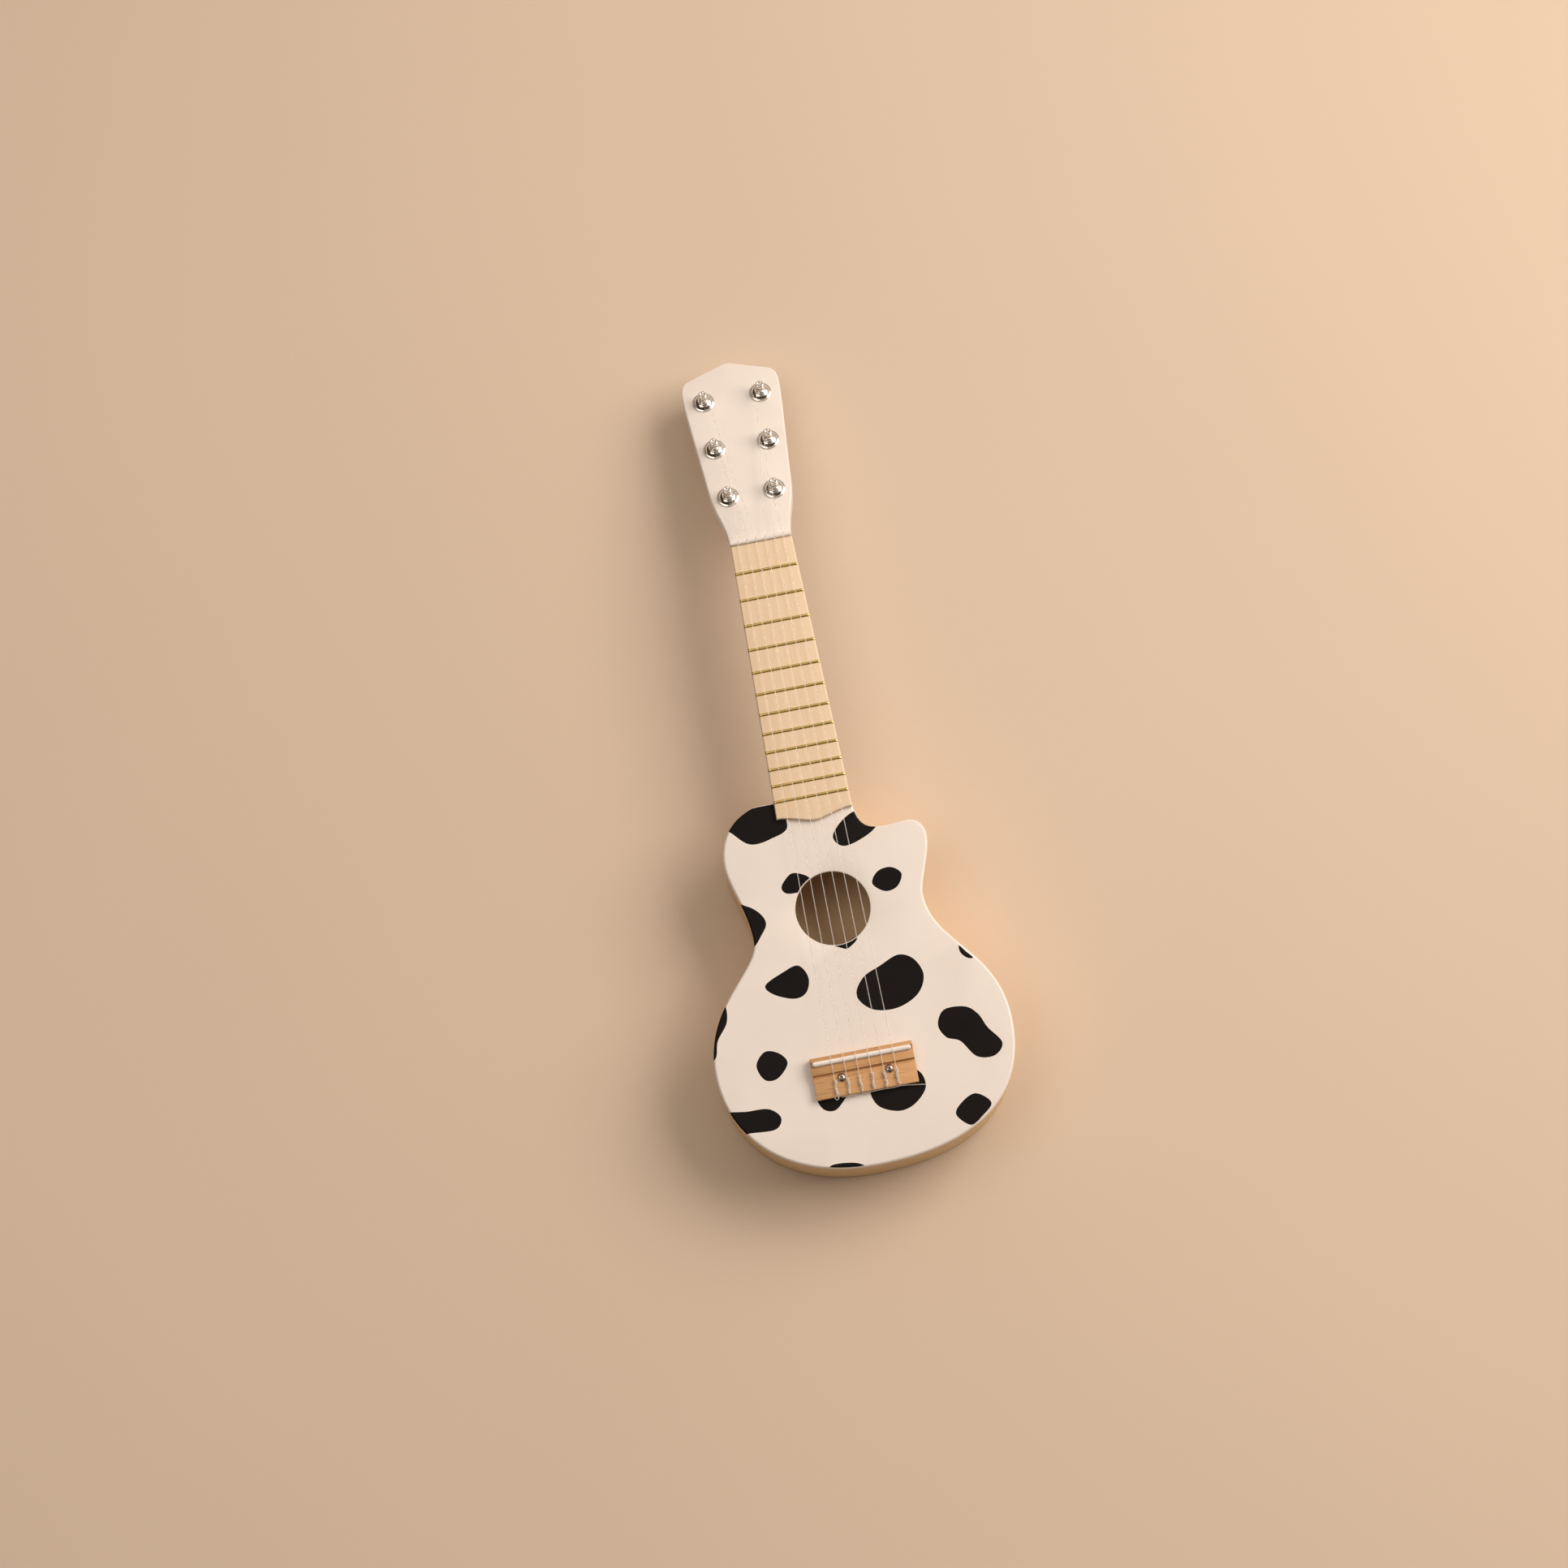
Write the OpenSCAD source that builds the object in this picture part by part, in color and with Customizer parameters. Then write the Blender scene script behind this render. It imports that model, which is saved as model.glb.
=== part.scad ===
// Small six-string toy guitar: a hollow wooden body with a cutaway, a neck with a tilted head,
// twelve frets, a tie bridge and six friction tuning pegs.
// Origin: on the plane of the back, under the centre of the sound hole.
// +X to the cutaway side, +Y towards the head, +Z out of the face.

/* [Body] */
// depth of the body over both plates
body_depth = 49; // [40:1:60]
// thickness of the soundboard and of the back
plate_t = 3; // [2:0.5:5]
// thickness of the ribs
rib_t = 3; // [2:0.5:5]
// width of the glue linings inside the ribs
lining_w = 4; // [3:0.5:6]
// height of the glue linings
lining_h = 6; // [4:0.5:10]
// height of the braces under the soundboard and on the back
brace_h = 8; // [5:0.5:12]
// width of the braces
brace_w = 6; // [4:0.5:10]
// radius of the sound hole
hole_r = 23.3; // [18:0.1:28]

/* [Neck and fretboard] */
// distance from the nut to the twelfth root spacing's end, which sets the frets
scale_len = 343; // [330:1:360]
// distance from the sound hole's centre to the nut
nut_y = 243.8; // [240:0.1:250]
// thickness of the fretboard
board_t = 3; // [2:0.5:5]
// half the fretboard's width at the nut
board_half_nut = 19.8; // [18:0.1:24]
// half the fretboard's width at the body end
board_half_end = 24; // [22:0.1:28]
// depth of the neck under the fretboard at the nut
neck_d_nut = 14; // [11:0.5:18]
// depth of the neck under the fretboard at the body
neck_d_heel = 16; // [12:0.5:20]
// width of a fret's crown
fret_w = 2; // [1.5:0.1:2.5]
// height of a fret's crown
fret_h = 0.8; // [0.5:0.1:1.2]

/* [Head and pegs] */
// angle at which the head leans back
head_tilt = 10; // [0:1:14]
// thickness of the head
head_t = 12; // [9:0.5:15]
// radius of a peg's post where it turns
post_r = 3; // [2.5:0.1:3.5]
// running clearance of a post in its ferrule and washer
post_clear = 0.05; // [0.01:0.01:0.1]
// radius of a ferrule's flange
ferrule_r = 7.2; // [6:0.1:8]
// length of a peg's button
button_len = 14; // [10:0.5:16]
// width of a peg's button
button_w = 16; // [10:0.5:18]

/* [Strings and bridge] */
// diameter of a string
string_d = 0.6; // [0.4:0.05:0.8]
// spacing of the strings at the nut
nut_pitch = 5.9; // [5:0.1:7]
// spacing of the strings at the saddle
saddle_pitch = 7.65; // [7:0.05:9]
// distance from the sound hole's centre to the saddle
saddle_y = -95; // [-100:0.5:-90]
// radius of the saddle rod
saddle_r = 1.6; // [1.2:0.1:2]
// width of the bridge
bridge_w = 63.3; // [55:0.1:75]

/* [Hidden] */
steps = 12;
string_r = string_d / 2;
face_z = body_depth;
board_z = face_z + board_t;
joint_y = 73;
nut_t = 3;
nut_h = 5.2;
nut_string_z = 4.8;
head_y = nut_y + nut_t;
board_end_y = 61.4;
board_tip_y = 56.8;
neck_half_nut = board_half_nut + 0.2;
neck_half_end = board_half_end + 0.2;
tenon_half = 8;
tenon_len = 13;
tenon_z = [12, 45];
block_half = 24;
block_len = 22;
brace_ys = [36, -50];
back_brace_ys = [38, -78];
patch_t = 2.5;
post_x = [15.2, 17.8, 19];
post_s = [34, 71, 107.7];
waist_r = 2;
waist_h = 4.5;
cap_r = 2.75;
cap_h = 7.5;
post_top = 10.4;
ferrule_h = 3.4;
sleeve_r = 4.5;
sleeve_len = 5;
washer_t = 1.2;
washer_r = 5.5;
spindle_r = 2.2;
spindle_len = 10.6;
peg_gap = 0.3;
wind_turns = 3;
wind_pitch = 0.62;
wind_h = 6.9;
wind_r = waist_r + peg_gap + string_r - 0.05;
bridge_x = -0.4;
bridge_front_y = -91;
bridge_rear_y = -116.6;
bridge_step_y = -101.8;
ridge_h = 5.8;
shelf_h = 4;
saddle_h = 6.2;
tie_h = 5;
tie_bore_h = 1.9;
screw_x = 14.8;
screw_y = -105.5;
white = [0.93, 0.88, 0.8];
raw_wood = [0.86, 0.68, 0.42];
board_wood = [0.92, 0.8, 0.6];
bridge_wood = [0.76, 0.56, 0.34];
brass = [0.72, 0.58, 0.26];
chrome = [0.8, 0.8, 0.82];
nylon = [0.92, 0.9, 0.84];

// ---- curves ----

function unit(v) = v / norm(v);
function bezier(s, t) = pow(1 - t, 3) * s[0] + 3 * pow(1 - t, 2) * t * s[1]
    + 3 * (1 - t) * t * t * s[2] + pow(t, 3) * s[3];
function bezier_dir(s, t) = unit(pow(1 - t, 2) * (s[1] - s[0])
    + 2 * (1 - t) * t * (s[2] - s[1]) + t * t * (s[3] - s[2]));

// one cubic per stretch, from the neck's bass side round the bass bouts to the cutaway
body_curve = [
    [[-24.5, joint_y], [-36, 76.5], [-61.5, 67], [-61.5, 39]],
    [[-61.5, 39], [-61.5, 25], [-52, 9], [-52, -11]],
    [[-52, -11], [-52, -30], [-90.2, -45.5], [-90.2, -88]],
    [[-90.2, -88], [-90.2, -126.5], [-61.5, -161.2], [-3, -161.2]],
    [[-3, -161.2], [54, -161.2], [95.1, -140.5], [95.1, -88]],
    [[95.1, -88], [95.1, -43], [56.7, -34], [56.7, -2]],
    [[56.7, -2], [56.7, 6.5], [66.3, 23.5], [66.3, 35]],
    [[66.3, 35], [66.3, 40.5], [63.3, 46.9], [55.3, 46.9]],
    [[55.3, 46.9], [51, 46.9], [47, 46], [42, 46]],
    [[42, 46], [28, 46], [24.1, 50.5], [24.1, joint_y]]];
body_marks = [for (s = body_curve) for (i = [0 : steps - 1]) [s, i / steps]];
body_ends = concat(body_marks, [[body_curve[9], 1]]);

function inset(mark, d) = let (p = bezier(mark[0], mark[1]), v = bezier_dir(mark[0], mark[1]))
    [p.x - d * v.y, min(p.y + d * v.x, joint_y - d)];
function body_outline(d) = [for (m = body_ends) inset(m, d)];

head_curve = [
    [[20.15, 0], [20.15, 14], [26, 22], [27.4, 42]],
    [[27.4, 42], [28.4, 58], [31.8, 95], [32.4, 110]],
    [[32.4, 110], [32.8, 118], [32.5, 124.2], [27, 126.2]],
    [[27, 126.2], [17, 129.8], [9, 132.7], [3.8, 134.5]],
    [[3.8, 134.5], [2.3, 135], [1.2, 135.2], [0, 135.2]]];
head_half = [for (s = head_curve) for (i = [0 : steps - 1]) bezier(s, i / steps)];
head_outline = concat(head_half, [[0, 135.2]],
    [for (i = [len(head_half) - 1 : -1 : 0]) [-head_half[i].x, head_half[i].y]]);

function fret_y(n) = nut_y - scale_len * (1 - pow(2, -n / 12));
function board_half(y) = board_half_nut
    + (board_half_end - board_half_nut) * (nut_y - y) / (nut_y - board_end_y);

// string n: 1 is the treble string, next to the cutaway
function nut_x(n) = (3.5 - n) * nut_pitch;
function saddle_x(n) = (3.5 - n) * saddle_pitch;
function peg_side(n) = n < 4 ? 1 : -1;
function peg_row(n) = n < 4 ? n - 1 : 6 - n;
function peg_x(n) = peg_side(n) * post_x[peg_row(n)];
function peg_s(n) = post_s[peg_row(n)];
function on_head(x, s, h) = [x, head_y + s * cos(head_tilt) + h * sin(head_tilt),
    face_z - s * sin(head_tilt) + h * cos(head_tilt)];

// ---- helpers ----

module plate(d, z, h) {
    translate([0, 0, z])
        linear_extrude(h)
            polygon(body_outline(d));
}

// one side of a ring between two insets; side is -1 for bass and 1 for treble
module half_ring(outer, inner, z, h, side, gap) {
    translate([0, 0, z])
        linear_extrude(h)
            intersection() {
                difference() {
                    polygon(body_outline(outer));
                    polygon(body_outline(inner));
                }
                translate([side > 0 ? gap : -200, -200])
                    square([200 - gap, 400]);
            }
}

module lining(z, side) {
    difference() {
        half_ring(rib_t, rib_t + lining_w, z, lining_h, side, 0);
        translate([-block_half - 2, joint_y - rib_t - block_len, z - 1])
            cube([block_half * 2 + 4, block_len + 10, lining_h + 2]);
        translate([-block_half, -170, z - 1])
            cube([block_half * 2, 40, lining_h + 2]);
    }
}

module brace(y, z) {
    intersection() {
        translate([-120, y - brace_w / 2, z])
            cube([240, brace_w, brace_h]);
        plate(rib_t + lining_w, z, brace_h);
    }
}

module on_head_frame() {
    translate([0, head_y, face_z])
        rotate([-head_tilt, 0, 0])
            children();
}

module at_peg(n) {
    on_head_frame()
        translate([peg_x(n), peg_s(n), 0])
            children();
}

// the outline of a D-shaped neck, flat side up, at one place along it
function neck_section(half, depth, y) = let (side = 3)
    concat([[half, y, face_z], [-half, y, face_z]],
        [for (a = [180 : 15 : 360]) [half * cos(a), y, face_z - side + (depth - side) * sin(a)]]);
function heel_section(half, len, z) =
    [for (a = [0 : 15 : 180]) [half * cos(a), joint_y + len * sin(a), z]];

// a closed solid through rings of points, each with the same number of points
module skin(rings) {
    m = len(rings[0]);
    n = len(rings);
    walls = [for (i = [0 : n - 2]) for (k = [0 : m - 1])
        let (a = i * m + k, b = i * m + (k + 1) % m)
            each [[a, a + m, b], [b, a + m, b + m]]];
    first = [[for (k = [0 : m - 1]) k]];
    last = [[for (k = [m - 1 : -1 : 0]) (n - 1) * m + k]];
    polyhedron([for (r = rings) each r], concat(walls, first, last));
}

function tangent(p, i) = unit(p[min(i + 1, len(p) - 1)] - p[max(i - 1, 0)]);
function across(u, d) = unit(u - (u * d) * d);
// a round thread along the points p
module thread(p, r) {
    sides = 6;
    n = len(p);
    frames = [for (i = 0, u = across([0.3, 0.2, 1], tangent(p, 0)); i < n;
        u = across(u, tangent(p, min(i + 1, n - 1))), i = i + 1) u];
    skin([for (i = [0 : n - 1]) [for (k = [0 : sides - 1])
        let (a = 360 * k / sides, d = tangent(p, i), u = frames[i])
            p[i] + r * (cos(a) * u + sin(a) * cross(d, u))]]);
}

// ---- body ----

module soundboard() {
    color(white)
        difference() {
            plate(0, face_z - plate_t, plate_t);
            translate([0, 0, face_z - plate_t - 1])
                cylinder(r = hole_r, h = plate_t + 2, $fn = 96);
            for (x = [-screw_x, screw_x])
                translate([x, screw_y, face_z - plate_t - 1])
                    cylinder(r = 1.35, h = plate_t + 2, $fn = 24);
        }
}

module back_plate() {
    color(raw_wood)
        plate(0, 0, plate_t);
}

module rib_left() {
    color(raw_wood)
        half_ring(0, rib_t, plate_t, body_depth - 2 * plate_t, -1, tenon_half);
    color(raw_wood)
        rib_foot();
}

module rib_foot() {
    translate([0, 0, plate_t])
        linear_extrude(body_depth - 2 * plate_t)
            intersection() {
                difference() {
                    polygon(body_outline(0));
                    polygon(body_outline(rib_t));
                }
                translate([-tenon_half, -200])
                    square([tenon_half * 2, 200]);
            }
}

module rib_right() {
    color(raw_wood)
        half_ring(0, rib_t, plate_t, body_depth - 2 * plate_t, 1, tenon_half);
}

module lining_top_left() {
    color(raw_wood)
        lining(face_z - plate_t - lining_h, -1);
}

module lining_top_right() {
    color(raw_wood)
        lining(face_z - plate_t - lining_h, 1);
}

module lining_back_left() {
    color(raw_wood)
        lining(plate_t, -1);
}

module lining_back_right() {
    color(raw_wood)
        lining(plate_t, 1);
}

module neck_block() {
    color(raw_wood)
        difference() {
            union() {
                intersection() {
                    translate([-block_half, joint_y - rib_t - block_len, plate_t])
                        cube([block_half * 2, block_len, body_depth - 2 * plate_t]);
                    plate(rib_t, plate_t, body_depth - 2 * plate_t);
                }
                translate([-tenon_half, joint_y - rib_t - 1, plate_t])
                    cube([tenon_half * 2, rib_t + 1, tenon_z[0] - plate_t + 1]);
            }
            translate([-tenon_half, joint_y - tenon_len, tenon_z[0]])
                cube([tenon_half * 2, tenon_len + 1, tenon_z[1] - tenon_z[0]]);
        }
}

module end_block() {
    color(raw_wood)
        intersection() {
            translate([-block_half + 3, -165, plate_t])
                cube([block_half * 2 - 6, 21, body_depth - 2 * plate_t]);
            plate(rib_t, plate_t, body_depth - 2 * plate_t);
        }
}

module brace_top_upper() {
    color(raw_wood)
        brace(brace_ys[0], face_z - plate_t - brace_h);
}

module brace_top_lower() {
    color(raw_wood)
        brace(brace_ys[1], face_z - plate_t - brace_h);
}

module brace_back_upper() {
    color(raw_wood)
        brace(back_brace_ys[0], plate_t);
}

module brace_back_lower() {
    color(raw_wood)
        brace(back_brace_ys[1], plate_t);
}

module bridge_patch() {
    color(raw_wood)
        difference() {
            translate([bridge_x - 38, -121, face_z - plate_t - patch_t])
                cube([76, 34, patch_t]);
            for (x = [-screw_x, screw_x])
                translate([x, screw_y, face_z - plate_t - patch_t - 1])
                    cylinder(r = 1.35, h = patch_t + 2, $fn = 24);
        }
}

// ---- neck ----

module neck() {
    color(white)
        difference() {
            union() {
                skin([neck_section(neck_half_nut, neck_d_nut, head_y + 1),
                    neck_section(neck_half_end, neck_d_heel, joint_y)]);
                skin([heel_section(18, 10, 8), heel_section(neck_half_end - 0.6, 30, face_z - 6)]);
                on_head_frame()
                    translate([0, 0.2, -head_t])
                        linear_extrude(head_t)
                            polygon(head_outline);
                translate([-tenon_half, joint_y - tenon_len, tenon_z[0]])
                    cube([tenon_half * 2, tenon_len + 2, tenon_z[1] - tenon_z[0]]);
            }
            for (n = [1 : 6])
                at_peg(n)
                    head_bore();
        }
}

module head_bore() {
    translate([0, 0, -sleeve_len])
        cylinder(r = sleeve_r + 0.03, h = sleeve_len + 1, $fn = 48);
    translate([0, 0, -head_t - 1])
        cylinder(r = post_r + 0.4, h = head_t + 1, $fn = 48);
}

module fretboard() {
    color(board_wood)
        difference() {
            translate([0, 0, face_z])
                linear_extrude(board_t)
                    polygon(board_outline());
            for (n = [1 : 12])
                translate([-30, fret_y(n) - 0.3, board_z - 1.5])
                    cube([60, 0.6, 3]);
        }
}

function board_outline() = let (
    flank = [[board_half_end, board_end_y], [16, board_end_y + 0.4], [6, board_tip_y],
        [0, board_tip_y]],
    right = [for (i = [0 : steps]) bezier(flank, i / steps)],
    left = [for (i = [steps - 1 : -1 : 0]) [-right[i].x, right[i].y]])
    concat([[-board_half_nut, nut_y], [board_half_nut, nut_y]], right, left);

module fret(n) {
    half = board_half(fret_y(n));
    crown_r = (fret_w * fret_w / 4 + fret_h * fret_h) / (2 * fret_h);
    color(brass)
        translate([0, fret_y(n), board_z]) {
            intersection() {
                translate([-half, 0, fret_h - crown_r])
                    rotate([0, 90, 0])
                        cylinder(r = crown_r, h = 2 * half, $fn = 48);
                translate([-half, -fret_w, 0])
                    cube([2 * half, 2 * fret_w, 2]);
            }
            translate([-half, -0.28, -1.4])
                cube([2 * half, 0.56, 1.6]);
        }
}

module fret_1() fret(1);
module fret_2() fret(2);
module fret_3() fret(3);
module fret_4() fret(4);
module fret_5() fret(5);
module fret_6() fret(6);
module fret_7() fret(7);
module fret_8() fret(8);
module fret_9() fret(9);
module fret_10() fret(10);
module fret_11() fret(11);
module fret_12() fret(12);

module nut() {
    slot_r = string_r + 0.3;
    color(white)
        difference() {
            translate([-board_half_nut, nut_y, face_z])
                cube([board_half_nut * 2, nut_t, nut_h]);
            for (n = [1 : 6])
                translate([nut_x(n), nut_y - 1, face_z + nut_string_z])
                    rotate([-90, 0, 0])
                        cylinder(r = slot_r, h = nut_t + 2, $fn = 24);
        }
}

// ---- bridge ----

module bridge() {
    color(bridge_wood)
        translate([bridge_x, 0, face_z])
            difference() {
                union() {
                    translate([-bridge_w / 2, bridge_rear_y, 0])
                        cube([bridge_w, bridge_front_y - bridge_rear_y, shelf_h]);
                    translate([-bridge_w / 2, bridge_step_y, 0])
                        cube([bridge_w, bridge_front_y - bridge_step_y, ridge_h]);
                }
                translate([-bridge_w / 2 - 1, saddle_y, saddle_h])
                    rotate([0, 90, 0])
                        cylinder(r = saddle_r + 0.05, h = bridge_w + 2, $fn = 48);
                for (n = [1 : 6])
                    translate([saddle_x(n) - bridge_x, bridge_rear_y - 1, tie_bore_h])
                        rotate([-90, 0, 0])
                            cylinder(r = 0.7, h = 11, $fn = 24);
                for (x = [-screw_x, screw_x])
                    translate([x - bridge_x, screw_y, -1])
                        cylinder(r = 1.6, h = shelf_h + 2, $fn = 24);
            }
}

module saddle_rod() {
    half = bridge_w / 2 - 0.9 - saddle_r;
    color(white)
        translate([bridge_x, saddle_y, face_z + saddle_h])
            rotate([0, 90, 0])
                rotate_extrude($fn = 48)
                    difference() {
                        union() {
                            translate([0, -half])
                                square([saddle_r, 2 * half]);
                            for (e = [-half, half])
                                translate([0, e])
                                    circle(r = saddle_r, $fn = 32);
                        }
                        translate([-10, -half - 10])
                            square([10, 2 * half + 20]);
                    }
}

module bridge_screws() {
    color(chrome)
        for (x = [-screw_x, screw_x])
            translate([x, screw_y, face_z + shelf_h])
                pan_screw(2.8, 1.7, 1.32, 11);
}

// a pan-head screw with a cross recess; z = 0 is the underside of the head
module pan_screw(head_r, head_h, shank_r, shank_len) {
    dome = [for (a = [0 : 15 : 90]) [head_r * cos(a), 0.5 + (head_h - 0.5) * sin(a)]];
    difference() {
        rotate_extrude($fn = 48)
            polygon(concat([[0, 0], [head_r, 0]], dome));
        for (a = [0, 90])
            rotate([0, 0, a])
                translate([-head_r * 0.55, -head_r * 0.13, head_h * 0.4])
                    cube([head_r * 1.1, head_r * 0.26, head_h]);
    }
    translate([0, 0, -shank_len])
        cylinder(r = shank_r, h = shank_len + 0.1, $fn = 24);
}

// ---- tuning pegs ----

module tuner_ferrules() {
    bore = post_r + post_clear;
    color(chrome)
        for (n = [1 : 6])
            at_peg(n)
                rotate_extrude($fn = 64)
                    polygon([[bore, -sleeve_len], [sleeve_r, -sleeve_len], [sleeve_r, 0],
                        [ferrule_r, 0], [ferrule_r, 0.6], [ferrule_r - 0.3, 0.9],
                        [6.1, 1.1], [5.7, 1.9], [5, 2.7], [4.2, 3.2], [3.7, ferrule_h],
                        [bore, ferrule_h]]);
}

module tuner_washers() {
    color(chrome)
        for (n = [1 : 6])
            at_peg(n)
                translate([0, 0, -head_t - washer_t])
                    difference() {
                        cylinder(r = washer_r, h = washer_t, $fn = 64);
                        translate([0, 0, -1])
                            cylinder(r = post_r + post_clear, h = washer_t + 2, $fn = 64);
                    }
}

module peg_post(n) {
    base = -head_t - washer_t;
    color(chrome)
        at_peg(n)
            difference() {
                rotate_extrude($fn = 64)
                    polygon([[0, base - spindle_len], [spindle_r, base - spindle_len],
                        [spindle_r, base - 0.2], [post_r, base - 0.2],
                        [post_r, waist_h - 0.3], [waist_r, waist_h], [waist_r, cap_h],
                        [cap_r - 0.2, cap_h + 0.4], [cap_r, cap_h + 0.8], [cap_r, post_top - 0.7],
                        [cap_r - 0.4, post_top], [0, post_top]]);
                translate([-5, 0, wind_h - wind_turns * wind_pitch])
                    rotate([0, 90, 0])
                        cylinder(r = 0.6, h = 10, $fn = 24);
                translate([0, 0, base - spindle_len - 1])
                    cylinder(r = 0.98, h = 8, $fn = 24);
            }
}

module peg_button(n) {
    top = -head_t - washer_t - 0.3;
    color(white)
        at_peg(n)
            translate([0, 0, top - button_len])
                difference() {
                    hull() {
                        translate([0, 0, button_len - 1])
                            cylinder(r = 4.4, h = 1, $fn = 32);
                        for (x = [-1, 1])
                            translate([x * (button_w / 2 - 3.2), 0, 0.8])
                                cylinder(r = 3.2, h = 5.5, $fn = 32);
                        for (x = [-1, 1])
                            translate([x * (button_w / 2 - 3.2), 0, 0])
                                cylinder(r = 2.4, h = 5.5, $fn = 32);
                    }
                    translate([0, 0, button_len - spindle_len - 0.1])
                        cylinder(r = spindle_r + 0.02, h = spindle_len + 1, $fn = 48);
                    translate([0, 0, -1])
                        cylinder(r = 1.2, h = button_len, $fn = 24);
                    translate([0, 0, -1])
                        cylinder(r = 2.6, h = 2.6, $fn = 32);
                }
}

module peg_screw(n) {
    color(chrome)
        at_peg(n)
            translate([0, 0, -head_t - washer_t - 0.3 - button_len + 1.6])
                rotate([180, 0, 0])
                    pan_screw(2.3, 1.3, 0.95, 7);
}

module peg_post_1() peg_post(1);
module peg_post_2() peg_post(2);
module peg_post_3() peg_post(3);
module peg_post_4() peg_post(4);
module peg_post_5() peg_post(5);
module peg_post_6() peg_post(6);
module peg_button_1() peg_button(1);
module peg_button_2() peg_button(2);
module peg_button_3() peg_button(3);
module peg_button_4() peg_button(4);
module peg_button_5() peg_button(5);
module peg_button_6() peg_button(6);
module peg_screw_1() peg_screw(1);
module peg_screw_2() peg_screw(2);
module peg_screw_3() peg_screw(3);
module peg_screw_4() peg_screw(4);
module peg_screw_5() peg_screw(5);
module peg_screw_6() peg_screw(6);

// ---- strings ----

function winding(n) = [for (a = [360 * wind_turns : -30 : 0])
    on_head(peg_x(n) - peg_side(n) * wind_r * cos(a), peg_s(n) + wind_r * sin(a),
        wind_h - wind_pitch * a / 360)];
function tie(n) = [for (q = [[saddle_y, saddle_h + saddle_r + string_r + 0.05], [-106.5, tie_h],
    [-115.6, tie_h], [-117, 4.7], [-117.9, 3.8], [-118, 2.8], [-117.4, 2.1],
    [-116.4, tie_bore_h], [-110, tie_bore_h]]) [saddle_x(n), q[0], face_z + q[1]]];
// the loose end twisted round the string on the bridge's shelf
function twist(n) = [for (a = [0 : 45 : 1440])
    [saddle_x(n) + (string_d + 0.04) * cos(a), -107 - 7.6 * a / 1440,
        face_z + tie_h + (string_d + 0.04) * sin(a)]];

module string(n) {
    color(nylon) {
        thread(concat(winding(n), [[nut_x(n), nut_y + nut_t / 2, face_z + nut_string_z]], tie(n)),
            string_r);
        thread(twist(n), string_r);
    }
}

module string_1() string(1);
module string_2() string(2);
module string_3() string(3);
module string_4() string(4);
module string_5() string(5);
module string_6() string(6);

soundboard();
back_plate();
rib_left();
rib_right();
lining_top_left();
lining_top_right();
lining_back_left();
lining_back_right();
neck_block();
end_block();
brace_top_upper();
brace_top_lower();
brace_back_upper();
brace_back_lower();
bridge_patch();
neck();
fretboard();
fret_1();
fret_2();
fret_3();
fret_4();
fret_5();
fret_6();
fret_7();
fret_8();
fret_9();
fret_10();
fret_11();
fret_12();
nut();
bridge();
saddle_rod();
bridge_screws();
tuner_ferrules();
tuner_washers();
peg_post_1();
peg_post_2();
peg_post_3();
peg_post_4();
peg_post_5();
peg_post_6();
peg_button_1();
peg_button_2();
peg_button_3();
peg_button_4();
peg_button_5();
peg_button_6();
peg_screw_1();
peg_screw_2();
peg_screw_3();
peg_screw_4();
peg_screw_5();
peg_screw_6();
string_1();
string_2();
string_3();
string_4();
string_5();
string_6();
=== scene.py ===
import math
import bmesh
import bpy
from mathutils import Matrix, Vector
from mathutils.geometry import delaunay_2d_cdt


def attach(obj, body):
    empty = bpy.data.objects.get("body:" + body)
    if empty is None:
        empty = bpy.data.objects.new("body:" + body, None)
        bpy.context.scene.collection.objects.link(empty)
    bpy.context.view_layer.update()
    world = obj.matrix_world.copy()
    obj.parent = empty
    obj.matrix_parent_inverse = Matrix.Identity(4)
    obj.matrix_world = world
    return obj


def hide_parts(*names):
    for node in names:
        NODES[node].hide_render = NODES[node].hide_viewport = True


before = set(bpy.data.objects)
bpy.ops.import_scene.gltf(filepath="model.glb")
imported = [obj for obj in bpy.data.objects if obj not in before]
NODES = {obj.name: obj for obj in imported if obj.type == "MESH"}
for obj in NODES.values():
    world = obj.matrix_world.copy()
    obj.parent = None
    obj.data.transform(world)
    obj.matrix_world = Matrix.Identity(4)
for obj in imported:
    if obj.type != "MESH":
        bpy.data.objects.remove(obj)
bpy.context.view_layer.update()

# ---- sizes, in millimetres, in the part's own frame ----

MM = 0.001
FACE_Z = 49.0
PLATE_T = 3.0
RIB_T = 3.0
HOLE_R = 23.3
JOINT_Y = 73.0
RIB_SEAM_X = 8.0
TENON_HALF = 8.0
TENON_LEN = 13.0
TENON_Z = (12.0, 45.0)
NUT_Y = 243.8
NUT_T = 3.0
HEAD_Y = NUT_Y + NUT_T
HEAD_TILT = math.radians(10)
HEAD_T = 12.0
SCALE_LEN = 343.0
BOARD_T = 3.0
BOARD_HALF_NUT = 19.8
BOARD_HALF_END = 24.0
BOARD_END_Y = 61.4
BOARD_TIP_Y = 56.8
NECK_HALF = (24.2, 20.1)
NECK_DEPTH = (16.0, 14.0)
NECK_SIDE = 3.0
NECK_BLEND = 18.0
HEEL_Z = (8.0, 43.0)
HEEL_HALF = (18.0, 23.6)
HEEL_LEN = (10.0, 30.0)
HEEL_R = 1.3
POST_X = (15.2, 17.8, 19.0)
POST_S = (34.0, 71.0, 107.7)
STRING_R = 0.3
NUT_PITCH = 5.9
SADDLE_PITCH = 7.65
STRING_NUT_Z = 4.8
SADDLE_Y = -95.0
SADDLE_Z = 8.15
EDGE_R = 1.6
BACK_R = 1.2
HEAD_R = 1.1
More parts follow.
